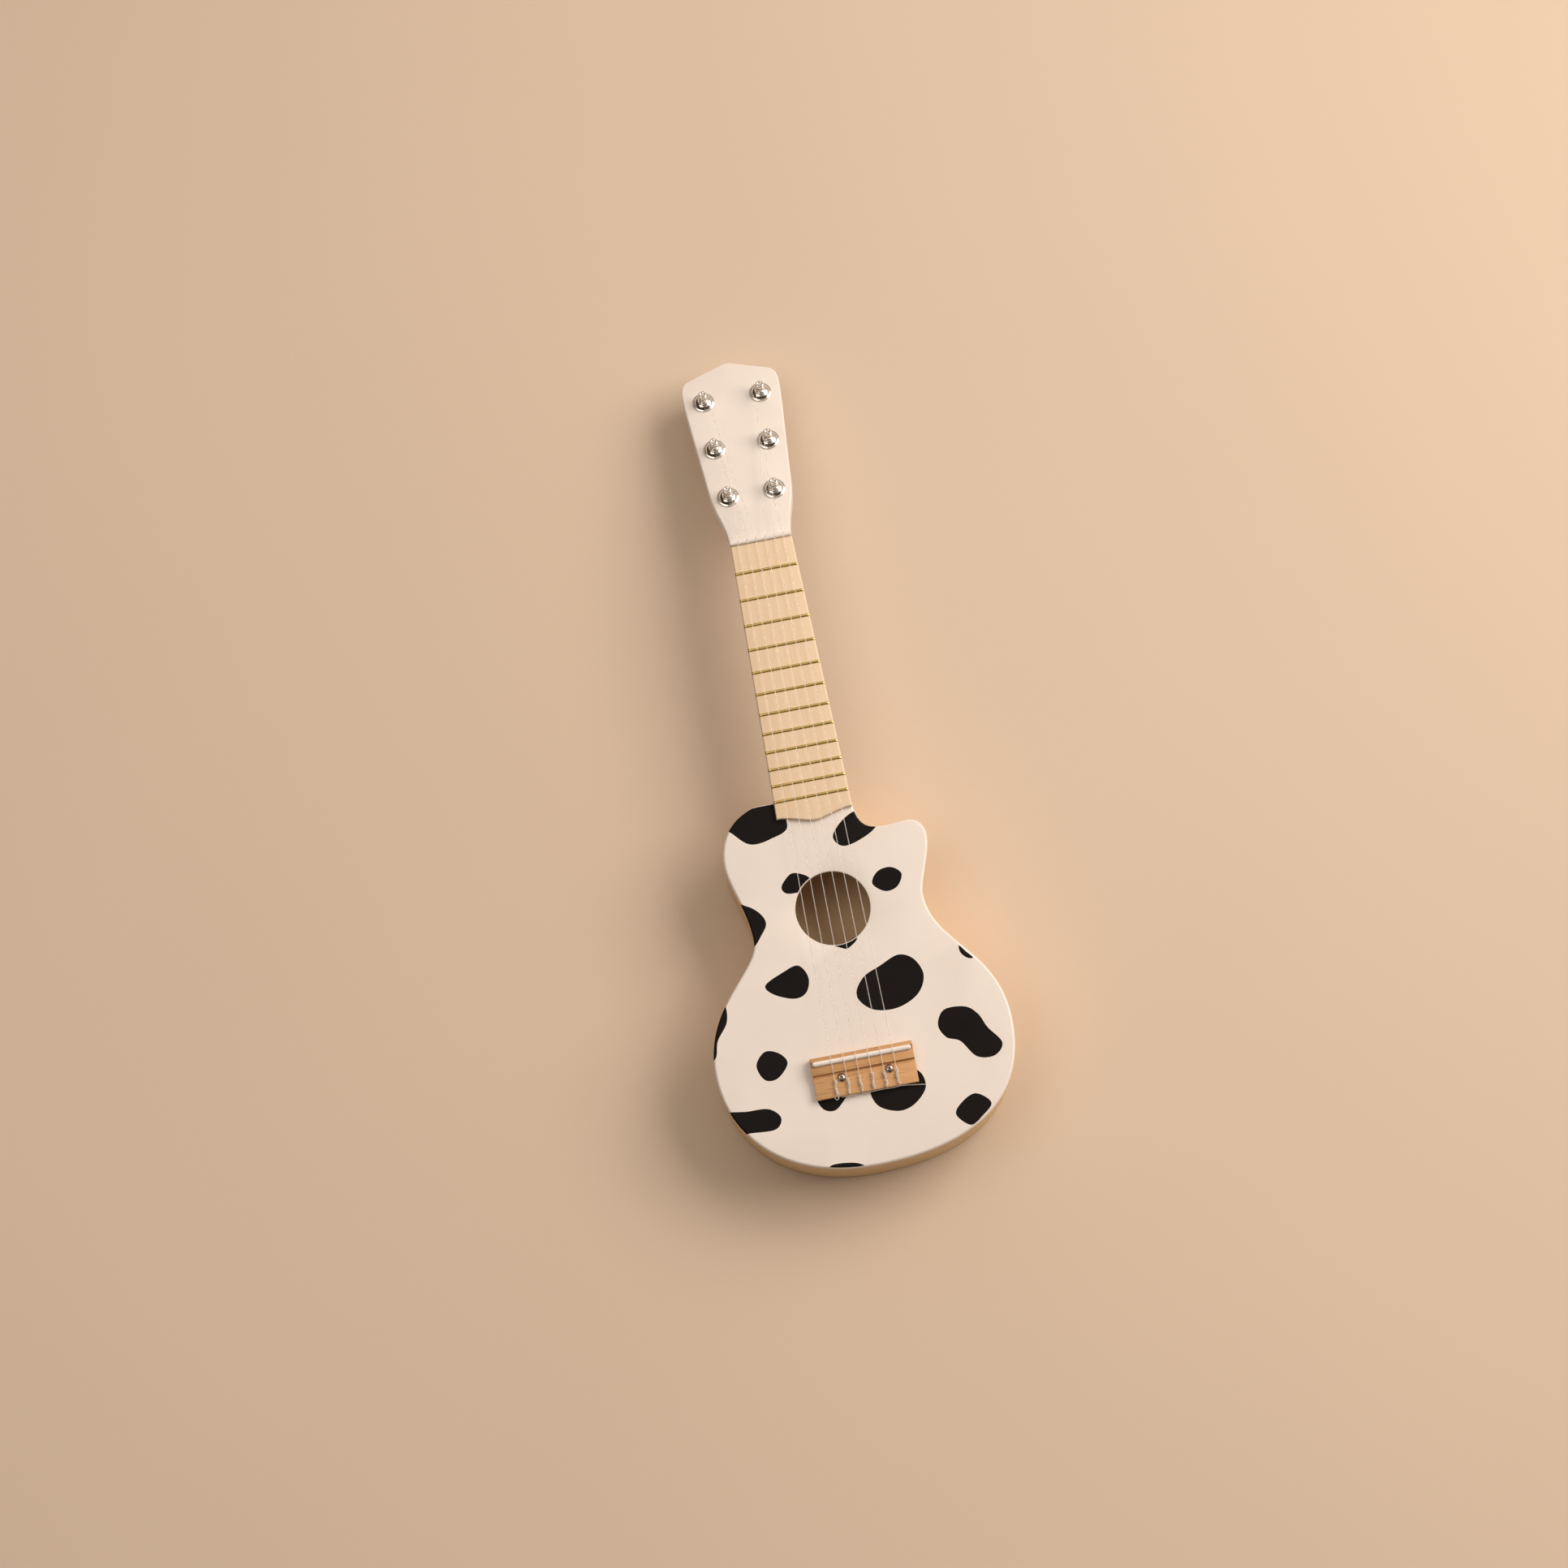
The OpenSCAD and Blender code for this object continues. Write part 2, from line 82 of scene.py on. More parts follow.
HOLE_STEPS = 128
FRET_HALF = 1.0
FRET_H = 0.78
FRETS = 12
PEGS = range(1, 7)
CONTACT = 0.01
WIND_R = 2.55
WIND_H = 6.9
WIND_PITCH = 0.62
WIND_TURNS = 3
TURN = 2 * math.pi

# one cubic per stretch: the neck's bass side, round the bass bouts, back to the cutaway
BODY_CURVE = (
    ((-24.5, JOINT_Y), (-36, 76.5), (-61.5, 67), (-61.5, 39)),
    ((-61.5, 39), (-61.5, 25), (-52, 9), (-52, -11)),
    ((-52, -11), (-52, -30), (-90.2, -45.5), (-90.2, -88)),
    ((-90.2, -88), (-90.2, -126.5), (-61.5, -161.2), (-3, -161.2)),
    ((-3, -161.2), (54, -161.2), (95.1, -140.5), (95.1, -88)),
    ((95.1, -88), (95.1, -43), (56.7, -34), (56.7, -2)),
    ((56.7, -2), (56.7, 6.5), (66.3, 23.5), (66.3, 35)),
    ((66.3, 35), (66.3, 40.5), (63.3, 46.9), (55.3, 46.9)),
    ((55.3, 46.9), (51, 46.9), (47, 46), (42, 46)),
    ((42, 46), (28, 46), (24.1, 50.5), (24.1, JOINT_Y)),
)

# half of the head's outline, from the nut to its tip, in its own plane
HEAD_CURVE = (
    ((20.15, 0), (20.15, 14), (26, 22), (27.4, 42)),
    ((27.4, 42), (28.4, 58), (31.8, 95), (32.4, 110)),
    ((32.4, 110), (32.8, 118), (32.5, 124.2), (27, 126.2)),
    ((27, 126.2), (17, 129.8), (9, 132.7), (3.8, 134.5)),
    ((3.8, 134.5), (2.3, 135), (1.2, 135.2), (0, 135.2)),
)

# the printed spots; each is a smooth closed curve, and those at the edge run over it
SPOTS = {
    "shoulder": ((-60, 68), (-52.5, 58), (-43, 49.5), (-30, 50.5), (-18, 57), (-26, 78), (-46, 78)),
    "cutaway": ((8.5, 44), (14, 37.5), (26, 40), (37, 47), (38, 60), (24, 58), (14, 52)),
    "hole_left": ((-29, 18), (-25, 14), (-12, 15), (-11, 22), (-20, 26.5), (-26, 23)),
    "oval": ((27, 10.5), (31.5, 17.5), (40, 18.8), (46, 13.5), (42, 6), (34, 4.3)),
    "waist": ((-62, 13), (-52, 11), (-45, 5), (-42.5, -2), (-47, -9), (-53, -15), (-64, -16)),
    "hole_under": ((-4, -22), (1, -26), (5, -26.5), (11.5, -21), (4, -16)),
    "belly_left": ((-28, -31.5), (-38, -34), (-50, -40), (-46, -46.5), (-34, -51.5), (-26, -49),
                   (-23, -40)),
    "belly_big": ((4, -57), (10, -46.5), (22, -41), (34, -36.5), (43, -41), (47, -52), (41, -63),
                  (27, -69), (12, -67)),
    "edge_right": ((72, -38), (75.5, -42.5), (79, -47), (75.5, -46.5), (72, -42.5)),
    "bone": ((55, -75.5), (68, -76), (75, -82), (79, -91), (86, -102), (80, -109), (69, -107.5),
             (61, -96.5), (53, -92.5), (49.5, -84)),
    "edge_left": ((-77, -47), (-77.5, -58), (-85, -68.5), (-88.5, -79), (-98, -80), (-94, -58),
                  (-84, -44)),
    "round_left": ((-58, -80.5), (-64.5, -88), (-61, -97.5), (-53, -98), (-45.5, -90), (-49.5, -83)),
    "corner_left": ((-92, -113.5), (-75, -114.5), (-62, -115.5), (-55.5, -122), (-60, -128.5),
                    (-75, -128), (-88, -127)),
    "bridge_left": ((-31.5, -113), (-29.5, -121.5), (-23, -124), (-17, -120), (-11, -112),
                    (-20, -107)),
    "bridge_right": ((1, -115), (4, -126), (16, -131.5), (27, -128.5), (35, -119), (30, -108),
                     (8, -107)),
    "corner_right": ((64, -129.7), (55, -133), (49.5, -140), (57, -148), (65, -144), (72, -137)),
    "bottom": ((-32, -157), (-26, -156), (-16, -157.5), (-11, -161), (-20, -165), (-32, -163)),
}
SPOT_STEPS = 16

# ---- curves ----


def bezier(c, t):
    """The point at t on a cubic."""
    s = 1 - t
    return [s ** 3 * a + 3 * s * s * t * b + 3 * s * t * t * d + t ** 3 * e
            for a, b, d, e in zip(*c)]


def chain(curves, steps):
    """Points along cubics that follow each other, without the last one's end."""
    return [Vector(bezier(c, i / steps)) for c in curves for i in range(steps)]


def catmull(a, b, c, d, t):
    """The point at t between b and c on a Catmull-Rom curve."""
    return 0.5 * (2 * b + (c - a) * t + (2 * a - 5 * b + 4 * c - d) * t * t
                  + (3 * b - a - 3 * c + d) * t ** 3)


def smooth_loop(points, steps):
    """A closed Catmull-Rom curve through the points."""
    p = [Vector(q) for q in points]
    out = []
    for i in range(len(p)):
        near = [p[(i + k) % len(p)] for k in (-1, 0, 1, 2)]
        out += [catmull(*near, j / steps) for j in range(steps)]
    return out


def spline(points, steps):
    """An open Catmull-Rom path through the points."""
    p = [points[0]] + points + [points[-1]]
    out = []
    for i in range(1, len(p) - 2):
        out += [catmull(*p[i - 1:i + 3], j / steps) for j in range(steps)]
    return out + [points[-1]]


BODY_STEPS = 28
BODY_LOOP = chain(BODY_CURVE, BODY_STEPS) + [Vector(BODY_CURVE[-1][-1])]


def inset(d):
    """The body's outline, moved in by d."""
    out = []
    n = len(BODY_LOOP)
    for i, p in enumerate(BODY_LOOP):
        a = BODY_LOOP[max(i - 1, 0)]
        b = BODY_LOOP[min(i + 1, n - 1)]
        t = (b - a).normalized()
        q = p + d * Vector((-t.y, t.x))
        out.append(Vector((q.x, min(q.y, JOINT_Y - d))))
    return out


def circle(r, n):
    """Points round the sound hole's centre, which is the origin."""
    return [Vector((r * math.cos(a), r * math.sin(a))) for a in (TURN * i / n for i in range(n))]


def inside(p, loop):
    """True if the point is inside the closed loop."""
    hit = False
    for a, b in zip(loop, loop[1:] + loop[:1]):
        if (a.y > p.y) != (b.y > p.y) and p.x < (b.x - a.x) * (p.y - a.y) / (b.y - a.y) + a.x:
            hit = not hit
    return hit


def on_head(x, s, h):
    """A point s along the head's face and h above it."""
    return Vector((x, HEAD_Y + s * math.cos(HEAD_TILT) + h * math.sin(HEAD_TILT),
                   FACE_Z - s * math.sin(HEAD_TILT) + h * math.cos(HEAD_TILT)))


HEAD_TURN = Matrix.Rotation(-HEAD_TILT, 4, "X")
ALONG_Y = Matrix.Rotation(math.radians(-90), 4, "X")


def peg_side(n):
    """1 on the treble side, pegs 1 to 3; -1 on the bass side, pegs 4 to 6."""
    return 1 if n < 4 else -1


def peg_row(n):
    """0 for the pair of pegs next to the nut, 2 for the pair at the tip."""
    return n - 1 if n < 4 else 6 - n


def peg_at(n, h):
    """The point on a peg's axis that is h above the head's face."""
    return on_head(peg_side(n) * POST_X[peg_row(n)], POST_S[peg_row(n)], h)


def nut_x(n):
    """Where string n crosses the nut."""
    return (3.5 - n) * NUT_PITCH


def saddle_x(n):
    """Where string n crosses the saddle."""
    return (3.5 - n) * SADDLE_PITCH


# ---- mesh helpers ----


SHARP = 35.0


def finish_mesh(name, bm, materials, angle=SHARP):
    """Makes an object from a bmesh in millimetres, smooth below the angle."""
    bmesh.ops.scale(bm, vec=(MM, MM, MM), verts=bm.verts)
    bmesh.ops.recalc_face_normals(bm, faces=bm.faces)
    me = bpy.data.meshes.new(name)
    bm.to_mesh(me)
    bm.free()
    for m in materials:
        me.materials.append(m)
    me.shade_smooth()
    me.set_sharp_from_angle(angle=math.radians(angle))
    o = bpy.data.objects.new(name, me)
    bpy.context.collection.objects.link(o)
    return o


def stand_for(o, body, slot, *nodes):
    """The piece moves with the body and replaces the CAD nodes, which it hides; slot is not used."""
    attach(o, body)
    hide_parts(*nodes)


def lathe(bm, profile, segments, place, turn=HEAD_TURN):
    """Turns (radius, height) pairs round Z, then tilts and moves them; a closed profile makes a ring."""
    closed = profile[0] == profile[-1]
    rows = []
    for r, h in profile[:-1] if closed else profile:
        if r < 1e-6:
            rows.append([bm.verts.new(place + turn @ Vector((0, 0, h)))])
            continue
        rows.append([bm.verts.new(place + turn @ Vector((r * math.cos(a), r * math.sin(a), h)))
                     for a in (TURN * i / segments for i in range(segments))])
    pairs = list(zip(rows, rows[1:] + (rows[:1] if closed else [])))
    for a, b in pairs:
        for i in range(segments):
            j = (i + 1) % segments
            quad = [a[i % len(a)], a[j % len(a)], b[j % len(b)], b[i % len(b)]]
            face = list(dict.fromkeys(quad))
            if len(face) > 2:
                bm.faces.new(face)


def arc(cx, cy, r, start, end, n):
    """Points on a circular arc, in degrees, for rounded lathe corners."""
    return [(cx + r * math.cos(math.radians(start + (end - start) * i / n)),
             cy + r * math.sin(math.radians(start + (end - start) * i / n))) for i in range(n + 1)]


def tube(bm, path, r, sides=12, material=0):
    """A round thread along the path, with domed ends."""
    n = len(path)
    u = None
    rings = []
    for i, p in enumerate(path):
        d = (path[min(i + 1, n - 1)] - path[max(i - 1, 0)]).normalized()
        u = u or Vector((0.3, 0.2, 1))
        u = (u - u.dot(d) * d).normalized()
        v = d.cross(u)
        rings.append([bm.verts.new(p + r * (math.cos(a) * u + math.sin(a) * v))
                      for a in (TURN * k / sides for k in range(sides))])
    for a, b in zip(rings, rings[1:]):
        for k in range(sides):
            j = (k + 1) % sides
            bm.faces.new((a[k], a[j], b[j], b[k])).material_index = material
    for ring, p, q in ((rings[0], path[0], path[1]), (rings[-1], path[-1], path[-2])):
        tip = bm.verts.new(p + (p - q).normalized() * r * 0.6)
        for k in range(sides):
            bm.faces.new((ring[k], ring[(k + 1) % sides], tip)).material_index = material


def triangulate(loops):
    """The corners and triangles that fill flat loops along their edges; a triangle has its centre."""
    points, edges = [], []
    for loop in loops:
        k = len(points)
        points += loop
        edges += [(k + i, k + (i + 1) % len(loop)) for i in range(len(loop))]
    verts, _, faces, *_ = delaunay_2d_cdt(points, edges, [], 0, 1e-5)
    return verts, [(f, sum((verts[i] for i in f), Vector((0, 0))) / len(f)) for f in faces]


def fill_flat(bm, loops, z, material, keep):
    """Fills between flat loops at height z; keep says which triangles stay, by their centre."""
    verts, faces = triangulate(loops)
    made = [bm.verts.new((v.x, v.y, z)) for v in verts]
    for f, centre in faces:
        if keep(centre):
            bm.faces.new([made[i] for i in f]).material_index = material


def wall(bm, loops, material):
    """Quads between loops of (points, z) that have the same number of points."""
    rows = [[bm.verts.new((p.x, p.y, z)) for p in pts] for pts, z in loops]
    for a, b in zip(rows, rows[1:]):
        n = len(a)
        for i in range(n):
            bm.faces.new((a[i], a[(i + 1) % n], b[(i + 1) % n], b[i])).material_index = material


def loft(bm, rows):
    """A closed solid through rings that have the same number of points."""
    rings = [[bm.verts.new(p) for p in row] for row in rows]
    n = len(rings[0])
    for a, b in zip(rings, rings[1:]):
        for k in range(n):
            bm.faces.new((a[k], a[(k + 1) % n], b[(k + 1) % n], b[k]))
    bm.faces.new(rings[0])
    bm.faces.new(rings[-1])


def plate(bm, points, z, h):
    """A plate from an outline at height z, h thick; it grows down if h is negative."""
    face = bm.faces.new([bm.verts.new((p.x, p.y, z)) for p in points])
    up = bmesh.ops.extrude_face_region(bm, geom=[face])
    moved = [g for g in up["geom"] if isinstance(g, bmesh.types.BMVert)]
    bmesh.ops.translate(bm, vec=(0, 0, h), verts=moved)


def round_off(bm, edges, r, segments):
    """Rounds edges over."""
    bmesh.ops.bevel(bm, geom=edges, offset=r, segments=segments, profile=0.5, affect="EDGES",
                    clamp_overlap=True)


def weld(bm):
    """Joins the corners that meet and drops those that no face uses."""
    bmesh.ops.remove_doubles(bm, verts=bm.verts, dist=2e-4)
    loose = [v for v in bm.verts if not v.link_faces]
    bmesh.ops.delete(bm, geom=loose, context="VERTS")


def prism(bm, points, x0, x1):
    """A solid with the (y, z) outline between two planes across X; returns its end edges."""
    ends = [[bm.verts.new((x, y, FACE_Z + z)) for y, z in points] for x in (x0, x1)]
    n = len(points)
    for i in range(n):
        j = (i + 1) % n
        bm.faces.new((ends[0][i], ends[0][j], ends[1][j], ends[1][i]))
    caps = [bm.faces.new(e) for e in ends]
    return [e for f in caps for e in f.edges]


def block(bm, lo, hi):
    """A box between two corners."""
    size = Vector(hi) - Vector(lo)
    place = Matrix.Translation((Vector(lo) + Vector(hi)) / 2) @ Matrix.Diagonal((*size, 1))
    bmesh.ops.create_cube(bm, size=1, matrix=place)


def cut_away(o, bm):
    """Takes the tool's solids out of an object and drops the tool."""
    tool = finish_mesh("tool", bm, [])
    mod = o.modifiers.new("cut", "BOOLEAN")
    mod.object = tool
    mod.operation = "DIFFERENCE"
    mod.solver = "EXACT"
    mod.use_self = True
    apply_modifiers(o)
    old = tool.data
    bpy.data.objects.remove(tool)
    bpy.data.meshes.remove(old)
    o.data.shade_smooth()
    o.data.set_sharp_from_angle(angle=math.radians(SHARP))


def apply_modifiers(o):
    """Turns what the modifiers make into the object's own mesh."""
    dg = bpy.context.evaluated_depsgraph_get()
    me = bpy.data.meshes.new_from_object(o.evaluated_get(dg))
    o.modifiers.clear()
    o.data = me


# ---- materials ----


class Shader:
    """A Principled material with a small node-building shorthand."""

    def __init__(self, name, color, rough, metal=0.0, **sockets):
        self.mat = bpy.data.materials.new(name)
        self.mat.use_nodes = True
        self.tree = self.mat.node_tree
        self.main = self.tree.nodes["Principled BSDF"]
        self.set("Base Color", (*color, 1))
        self.set("Roughness", rough)
        self.set("Metallic", metal)
        for key, value in sockets.items():
            self.set(key.replace("_", " "), value)

    def set(self, key, value):
        self.main.inputs[key].default_value = value

    def node(self, kind, **values):
        n = self.tree.nodes.new(kind)
        for key, value in values.items():
            if hasattr(n, key):
                setattr(n, key, value)
            else:
                n.inputs[key.replace("_", " ")].default_value = value
        return n

    def link(self, a, b):
        self.tree.links.new(a, b)

    def feed(self, value, socket):
        """Links another node's output, or sets a number or a colour."""
        if isinstance(value, bpy.types.NodeSocket):
            self.link(value, socket)
        elif isinstance(value, tuple):
            socket.default_value = (*value, 1)
        else:
            socket.default_value = value

    def coords(self, scale):
        where = self.node("ShaderNodeTexCoord")
        place = self.node("ShaderNodeMapping")
        place.inputs["Scale"].default_value = scale
        self.link(where.outputs["Object"], place.inputs["Vector"])
        return place.outputs["Vector"]

    def noise(self, vector, scale=1.0, detail=4.0, rough=0.5, distort=0.0):
        n = self.node("ShaderNodeTexNoise", Scale=scale, Detail=detail, Roughness=rough,
                      Distortion=distort)
        self.link(vector, n.inputs["Vector"])
        return n.outputs["Fac"]

    def fade(self, value, lo, hi):
        """Black up to lo and white from hi on."""
        n = self.node("ShaderNodeValToRGB")
        n.color_ramp.elements[0].position = lo
        n.color_ramp.elements[1].position = hi
        self.link(value, n.inputs["Fac"])
        return n.outputs["Color"]

    def mix(self, fac, a, b):
        n = self.node("ShaderNodeMix", data_type="RGBA")
        for value, socket in ((fac, n.inputs["Factor"]), (a, n.inputs[6]), (b, n.inputs[7])):
            self.feed(value, socket)
        return n.outputs[2]

    def span(self, value, lo, hi):
        """Moves a value from 0..1 to lo..hi."""
        n = self.node("ShaderNodeMapRange")
        n.inputs["To Min"].default_value = lo
        n.inputs["To Max"].default_value = hi
        self.link(value, n.inputs["Value"])
        return n.outputs["Result"]

    def calc(self, operation, a, b):
        n = self.node("ShaderNodeMath", operation=operation)
        self.feed(a, n.inputs[0])
        self.feed(b, n.inputs[1])
        return n.outputs[0]

    def bump(self, height, distance, strength=1.0, under=None):
        n = self.node("ShaderNodeBump", Strength=strength, Distance=distance)
        self.link(height, n.inputs["Height"])
        if under is not None:
            self.link(under, n.inputs["Normal"])
        return n.outputs["Normal"]


def paint(name, color, dark, rough, spread, shine=0.45):
    """Satin paint rolled on wood: a faint mottle, an orange-peel skin and the grain telegraphing through."""
    s = Shader(name, color, rough, Specular_IOR_Level=shine)
    blotch = s.noise(s.coords((9, 9, 9)), 3, 3)
    grain = s.noise(s.coords((420, 14, 420)), 1, 5, 0.6)
    peel = s.noise(s.coords((900, 900, 900)), 1, 2)
    s.link(s.mix(s.fade(blotch, 0.35, 0.7), color, dark), s.main.inputs["Base Color"])
    s.link(s.span(blotch, rough - spread, rough + spread), s.main.inputs["Roughness"])
    low = s.bump(grain, 0.00006, 0.5)
    s.link(s.bump(peel, 0.00003, 0.35, low), s.main.inputs["Normal"])
    return s.mat


def wood(name, light, dark, pore, along, rough, ring, pores, bump, bands):
    """Sanded wood whose grain runs along the named axes: growth bands, fine fibres and pores."""
    stretch = [0.045 if axis in along else 1.0 for axis in "xyz"]
    s = Shader(name, light, rough, Specular_IOR_Level=0.35, Coat_Weight=0.06, Coat_Roughness=0.35)
    broad = s.noise(s.coords([ring * k for k in stretch]), 1, 3, 0.5, 0.6)
    lines = s.node("ShaderNodeTexWave", wave_type="BANDS", bands_direction="DIAGONAL", Scale=1.0,
                   Distortion=7.0, Detail=3.0, Detail_Scale=1.2)
    s.link(s.coords([ring * 6 * k for k in stretch]), lines.inputs["Vector"])
    fibre = s.noise(s.coords([1500 * k for k in stretch]), 1, 4, 0.65)
    hole = s.noise(s.coords([1100 * k for k in stretch]), 1, 2, 0.5)
    base = s.mix(s.fade(broad, 0.3, 0.7), light, dark)
    base = s.mix(s.span(lines.outputs["Fac"], 0.0, bands), base, dark)
    base = s.mix(s.span(fibre, 0.0, 0.6 * bands), base, pore)
    pits = s.fade(hole, 0.6, 0.7)
    s.link(s.mix(s.calc("MULTIPLY", pits, pores), base, pore), s.main.inputs["Base Color"])
    s.link(s.span(fibre, rough - 0.08, rough + 0.12), s.main.inputs["Roughness"])
    first = s.bump(fibre, bump, 0.5)
    sunk = s.calc("SUBTRACT", 1.0, pits)
    s.link(s.bump(sunk, bump * 1.2, pores, first), s.main.inputs["Normal"])
    return s.mat


def metal(name, color, rough, brushed=0.0):
    """Plated or drawn metal with faint handling marks."""
    s = Shader(name, color, rough, 1.0)
    smear = s.noise(s.coords((260, 260, 260)), 1, 4, 0.6)
    s.link(s.span(smear, max(rough - 0.03, 0.02), rough + 0.07), s.main.inputs["Roughness"])
    fine = s.noise(s.coords((1600, 1600, 1600)), 1, 2)
    s.link(s.bump(fine, 0.00002, 0.15 + brushed), s.main.inputs["Normal"])
    return s.mat


def plastic(name, color, rough):
    """Moulded plastic with a slight mottle in its gloss."""
    s = Shader(name, color, rough)
    m = s.noise(s.coords((300, 300, 300)), 1, 3)
    s.link(s.span(m, rough - 0.05, rough + 0.08), s.main.inputs["Roughness"])
    s.link(s.mix(m, color, tuple(c * 0.94 for c in color)), s.main.inputs["Base Color"])
    s.link(s.bump(m, 0.00002, 0.3), s.main.inputs["Normal"])
    return s.mat


def thread(name, color, alpha):
    """Drawn nylon: smooth and milky, and what lies under it shows through."""
    s = Shader(name, color, 0.2, Alpha=alpha, Subsurface_Weight=1.0, Subsurface_Scale=0.0004,
               Subsurface_Radius=(1, 1, 1))
    m = s.noise(s.coords((40, 40, 40)), 1, 2)
    s.link(s.mix(m, color, tuple(c * 0.96 for c in color)), s.main.inputs["Base Color"])
    return s.mat


def make_materials():
    return {
        "white": paint("white_paint", (0.87, 0.82, 0.765), (0.84, 0.785, 0.725), 0.36, 0.06),
        "black": paint("black_print", (0.007, 0.0055, 0.005), (0.010, 0.008, 0.007), 0.5, 0.05, 0.09),
        "rib": wood("rib_wood", (0.88, 0.66, 0.37), (0.79, 0.55, 0.28), (0.58, 0.38, 0.17), "xy",
                    rough=0.42, ring=30, pores=0.25, bump=0.0001, bands=0.4),
        "inner": wood("inner_wood", (0.80, 0.60, 0.37), (0.73, 0.53, 0.31), (0.58, 0.40, 0.22), "y",
                      rough=0.7, ring=14, pores=0.15, bump=0.0001, bands=0.25),
        "board": wood("board_wood", (0.88, 0.72, 0.52), (0.83, 0.65, 0.44), (0.68, 0.50, 0.30), "y",
                      rough=0.42, ring=30, pores=0.15, bump=0.00008, bands=0.35),
        "bridge": wood("bridge_wood", (0.72, 0.43, 0.20), (0.60, 0.33, 0.135), (0.32, 0.15, 0.05), "x",
                       rough=0.5, ring=60, pores=0.4, bump=0.0002, bands=0.45),
        "brass": metal("brass", (0.72, 0.55, 0.20), 0.26, 0.1),
        "chrome": metal("chrome", (0.84, 0.80, 0.75), 0.09),
        "steel": metal("steel", (0.50, 0.46, 0.41), 0.22, 0.1),
        "plastic": plastic("white_plastic", (0.92, 0.87, 0.82), 0.28),
        "nylon": thread("nylon", (0.97, 0.93, 0.90), 0.3),
        "coil": thread("nylon_coiled", (0.93, 0.86, 0.78), 0.6),
    }


# ---- body ----


def print_limit():
    """Where the print stops, just inside the edge; the film lies a little to the bass side."""
    cutaway = Vector((0.4, 0.4))
    elsewhere = Vector((-0.9, 0.1))
    return [p + (cutaway if p.x > 0 and p.y > 40 else elsewhere) for p in inset(0.75)]


def edge_height(v, outline):
    """Height of the rounded edge at a point, from the nearest stretch of the outline."""
    reach = 12
    best = EDGE_R
    for a, b in zip(outline, outline[1:] + outline[:1]):
        if abs(a.x - v.x) + abs(a.y - v.y) > reach:
            continue
        ab = b - a
        t = max(0.0, min(1.0, (v - a).dot(ab) / max(ab.length_squared, 1e-9)))
        best = min(best, (a + ab * t - v).length)
    d = EDGE_R - best
    return FACE_Z - EDGE_R + math.sqrt(max(EDGE_R ** 2 - d ** 2, 0.0))


def build_soundboard(mats):
    """The top plate: its edge rounded over, and the print's spots cut into the same skin."""
    white, black, inner = range(3)
    bm = bmesh.new()
    edge_loops = [inset(EDGE_R * (1 - math.cos(math.radians(a)))) for a in (0, 18, 36, 54, 72, 90)]
    outer = edge_loops[0]
    rim, ease, bore = (circle(HOLE_R + d, HOLE_STEPS) for d in (0.5, 0.15, 0.0))
    rim_r2 = (HOLE_R + 0.5) ** 2 - 0.02
    spots = [smooth_loop(p, SPOT_STEPS) for p in SPOTS.values()]
    limit = print_limit()
    verts, faces = triangulate(edge_loops + [rim] + spots)
    made = [bm.verts.new((v.x, v.y, edge_height(v, outer))) for v in verts]
    for f, c in faces:
        if c.length_squared < rim_r2 or not inside(c, outer):
            continue
        printed = inside(c, limit) and any(inside(c, s) for s in spots)
        bm.faces.new([made[i] for i in f]).material_index = black if printed else white
    bottom = FACE_Z - PLATE_T
    wall(bm, [(outer, FACE_Z - EDGE_R), (outer, bottom + 2 * CONTACT)], white)
    wall(bm, [(rim, FACE_Z), (ease, FACE_Z - 0.15), (bore, FACE_Z - 0.5)], white)
    wall(bm, [(bore, FACE_Z - 0.5), (bore, bottom)], inner)
    fill_flat(bm, [outer, bore], bottom, inner, lambda c: c.length > HOLE_R - 0.01 and inside(c, outer))
    weld(bm)
    o = finish_mesh("soundboard_painted", bm, [mats["white"], mats["black"], mats["inner"]])
    stand_for(o, "guitar", "body_paint", "soundboard")


def build_back(mats):
    """The back plate, its outer edge rounded over."""
    bm = bmesh.new()
    rings = [(inset(BACK_R * (1 - math.sin(a))), BACK_R * (1 - math.cos(a)))
             for a in (math.radians(d) for d in (0, 22, 45, 68, 90))]
    loops = rings + [(inset(0), PLATE_T)]
    wall(bm, loops, 0)
    for pts, z in (loops[0], loops[-1]):
        fill_flat(bm, [pts], z, 0, lambda c, pts=pts: inside(c, pts))
    weld(bm)
    o = finish_mesh("back_plate_shaped", bm, [mats["inner"]])
    stand_for(o, "guitar", "raw_wood", "back_plate")


def build_ribs(mats):
    """Each side wall as one bent strip that turns in across the front, to the neck's tenon."""
    lo = PLATE_T + CONTACT
    hi = FACE_Z - PLATE_T - CONTACT
    turns = [Vector((x, JOINT_Y)) for x in (-TENON_HALF, TENON_HALF)]
    outer = turns[:1] + inset(0) + turns[1:]
    turned_in = [p - Vector((0, RIB_T)) for p in turns]
    inner = turned_in[:1] + inset(RIB_T) + turned_in[1:]
    low = [i for i, p in enumerate(outer) if p.y < -100]
    seam = min(low, key=lambda i: abs(outer[i].x - RIB_SEAM_X))
    for name, first, last in (("rib_left", 0, seam), ("rib_right", seam, len(outer) - 1)):
        bm = bmesh.new()
        loft(bm, [[(p.x, p.y, z) for p, z in
                   ((outer[i], lo), (outer[i], hi), (inner[i], hi), (inner[i], lo))]
                  for i in range(first, last + 1)])
        o = finish_mesh(name + "_bent", bm, [mats["rib"]])
        stand_for(o, "guitar", "raw_wood", name)


# ---- neck ----


